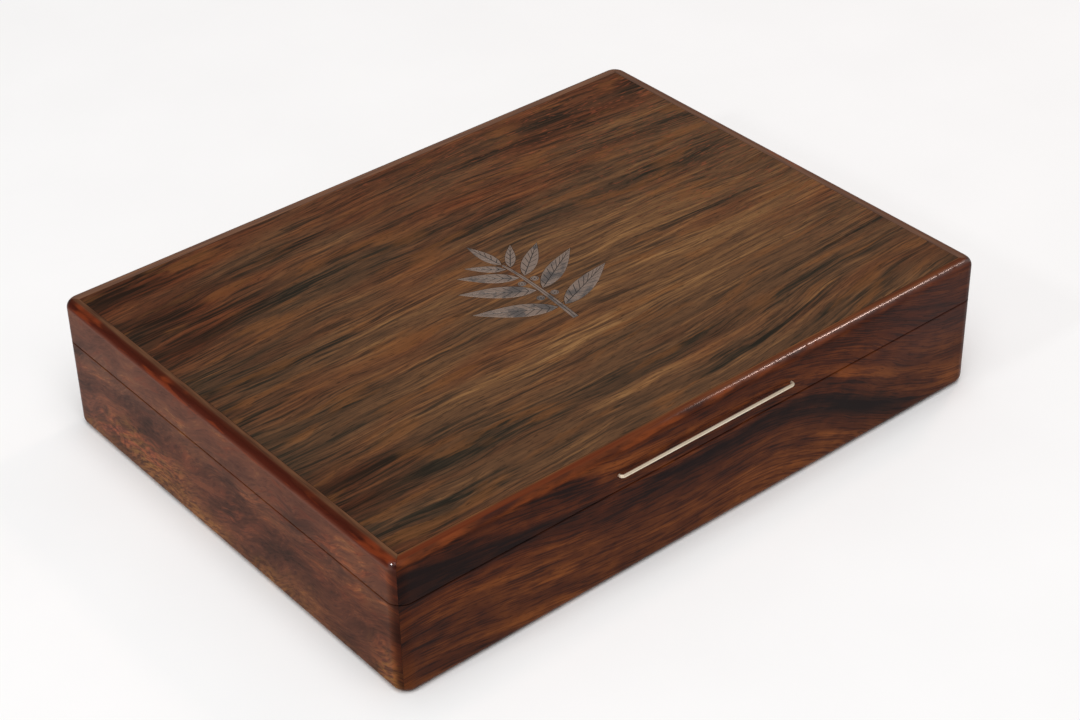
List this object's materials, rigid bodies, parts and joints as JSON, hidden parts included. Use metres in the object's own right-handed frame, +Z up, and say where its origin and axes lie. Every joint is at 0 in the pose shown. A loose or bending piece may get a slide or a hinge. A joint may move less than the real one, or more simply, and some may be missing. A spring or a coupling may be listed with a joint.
{
  "type": "wooden keepsake box",
  "caption": "Flat hinged rosewood box for papers and keepsakes, with mitred walls, a silver lift bar and a silver leaf inlay in the lid.",
  "frame": {"origin": "middle of the underside, on the surface that the box stands on", "axes": "+X along the front from left to right, +Y from the front to the hinge at the back, +Z up"},
  "size_m": [0.26, 0.1969, 0.053],
  "materials": {
    "rosewood_wall": "rubbed lacquer, semi-gloss",
    "rosewood_top": "rubbed lacquer, semi-gloss",
    "bottom_board": "oiled, matt",
    "tongue_wood": "bare, matt",
    "hinge_brass": "satin, lightly aged",
    "bar_silver": "polished silver",
    "inlay_silver": "tarnished silver"
  },
  "bodies": {
    "base": {"base_back_wall": "rosewood_wall", "base_front_wall": "rosewood_wall", "base_hinge_screw_1": "hinge_brass", "base_hinge_screw_2": "hinge_brass", "base_hinge_screw_3": "hinge_brass", "base_hinge_screw_4": "hinge_brass", "base_hinge_screw_5": "hinge_brass", "base_hinge_screw_6": "hinge_brass", "base_hinge_screw_7": "hinge_brass", "base_left_wall": "rosewood_wall", "base_panel": "bottom_board", "base_right_wall": "rosewood_wall", "base_tongue_back_left": "tongue_wood", "base_tongue_back_right": "tongue_wood", "base_tongue_front_left": "tongue_wood", "base_tongue_front_right": "tongue_wood", "hinge_leaf_base": "hinge_brass", "hinge_pin": "hinge_brass"},
    "lid": {"hinge_leaf_lid": "hinge_brass", "inlay_berry_left_1": "inlay_silver", "inlay_berry_left_2": "inlay_silver", "inlay_berry_right_1": "inlay_silver", "inlay_berry_right_2": "inlay_silver", "inlay_leaf_left_1": "inlay_silver", "inlay_leaf_left_2": "inlay_silver", "inlay_leaf_left_3": "inlay_silver", "inlay_leaf_left_4": "inlay_silver", "inlay_leaf_right_1": "inlay_silver", "inlay_leaf_right_2": "inlay_silver", "inlay_leaf_right_3": "inlay_silver", "inlay_leaf_right_4": "inlay_silver", "inlay_leaf_tip": "inlay_silver", "inlay_stem": "inlay_silver", "lid_back_wall": "rosewood_wall", "lid_front_wall": "rosewood_wall", "lid_hinge_screw_1": "hinge_brass", "lid_hinge_screw_2": "hinge_brass", "lid_hinge_screw_3": "hinge_brass", "lid_hinge_screw_4": "hinge_brass", "lid_hinge_screw_5": "hinge_brass", "lid_hinge_screw_6": "hinge_brass", "lid_hinge_screw_7": "hinge_brass", "lid_left_wall": "rosewood_wall", "lid_panel": "rosewood_top", "lid_right_wall": "rosewood_wall", "lid_tongue_back_left": "tongue_wood", "lid_tongue_back_right": "tongue_wood", "lid_tongue_front_left": "tongue_wood", "lid_tongue_front_right": "tongue_wood", "lift_bar": "bar_silver"}
  },
  "joints": [
    {"name": "lid_hinge", "type": "hinge", "parent": "base", "child": "lid", "pos_m": [0, 0.0957, 0.0365], "axis": [-1, 0, 0], "range_deg": [0, 100]}
  ]
}
